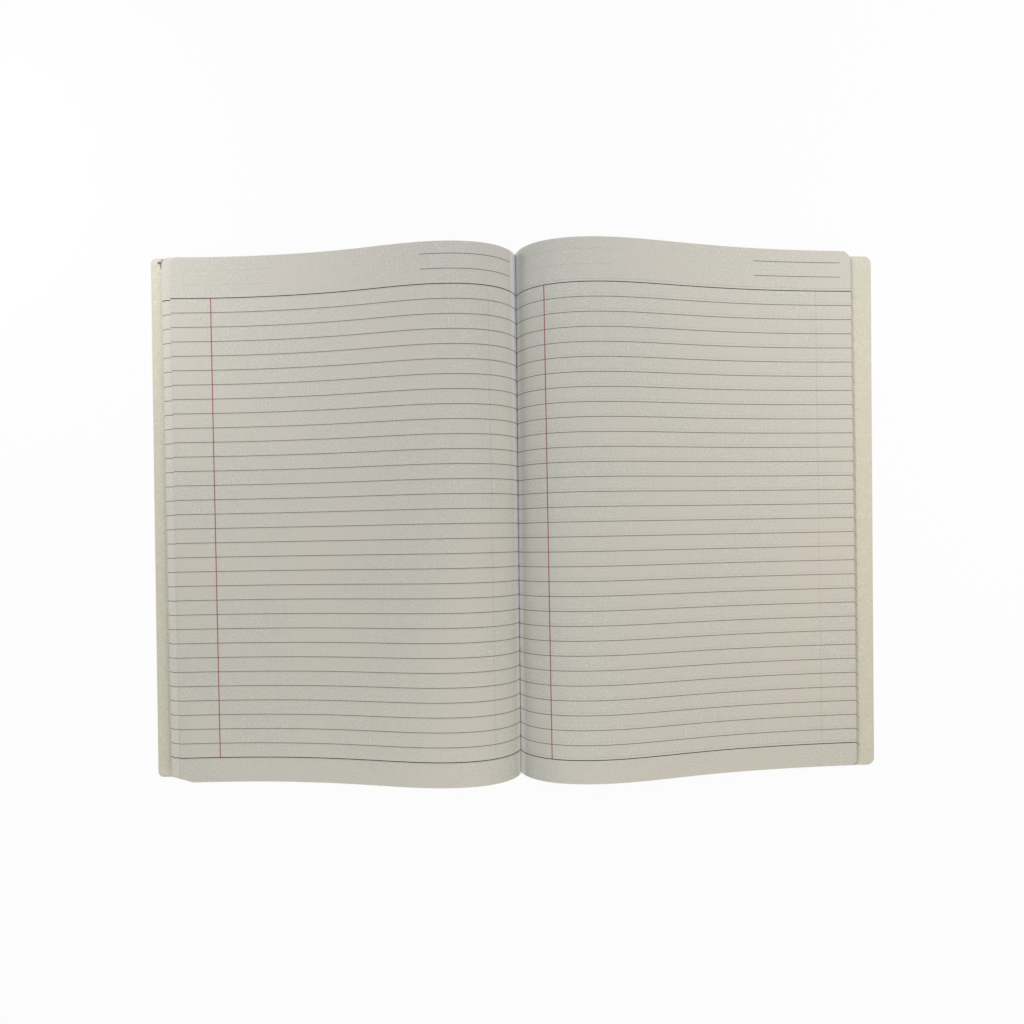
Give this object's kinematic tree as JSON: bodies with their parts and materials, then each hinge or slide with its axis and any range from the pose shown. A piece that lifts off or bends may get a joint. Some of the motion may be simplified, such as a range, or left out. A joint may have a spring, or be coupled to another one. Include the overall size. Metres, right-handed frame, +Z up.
{
  "type": "open composition notebook",
  "caption": "Soft-cover ruled notebook lying open at its middle: arched stacks of ruled leaves glued to a flat spine, with a hinged card cover panel under each half.",
  "frame": {"origin": "under the middle of the spine, on the surface that the notebook lies on", "axes": "+X to the reader's right across the spread, +Y towards the head of the pages, +Z up out of the pages"},
  "size_m": [0.4084, 0.2954, 0.022],
  "materials": {
    "ruled_paper": "matte",
    "glue": "satin",
    "cover_card": "matte"
  },
  "bodies": {
    "pages_and_spine": {"pages": "ruled_paper", "binding_glue": "glue", "spine": "cover_card"},
    "front_cover": {"front_cover": "cover_card"},
    "back_cover": {"back_cover": "cover_card"}
  },
  "joints": [
    {"name": "front_cover_hinge", "type": "hinge", "parent": "pages_and_spine", "child": "front_cover", "pos_m": [-0.00425, 0, 0], "axis": [0, -1, 0], "range_deg": [0, 90]},
    {"name": "back_cover_hinge", "type": "hinge", "parent": "pages_and_spine", "child": "back_cover", "pos_m": [0.00425, 0, 0], "axis": [0, 1, 0], "range_deg": [0, 90]}
  ]
}
